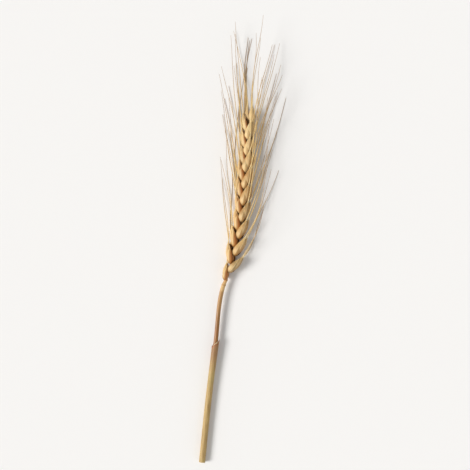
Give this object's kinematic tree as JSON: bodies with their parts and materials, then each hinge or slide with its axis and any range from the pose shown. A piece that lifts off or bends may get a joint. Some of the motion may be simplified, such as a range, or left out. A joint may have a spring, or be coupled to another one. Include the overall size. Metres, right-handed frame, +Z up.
{
  "type": "bearded wheat ear",
  "caption": "Dried bearded wheat ear on its cut straw, lying flat: overlapping husks in rows, long awns, and a leaf sheath round the stalk.",
  "frame": {"origin": "on the surface the ear lies on, under the middle of its bounding box", "axes": "+Y along the stalk towards the ear's tip and awns, +X to the picture's right, +Z up from the surface towards the camera"},
  "size_m": [0.0476, 0.2406, 0.0191],
  "materials": {
    "husk": "dry papery husk, satin",
    "straw": "dry straw, slightly glossy",
    "sheath": "dry leaf sheath, finely ribbed, satin"
  },
  "bodies": {
    "root": {"ear": "husk", "straw": "straw", "leaf_sheath": "sheath"}
  },
  "joints": []
}
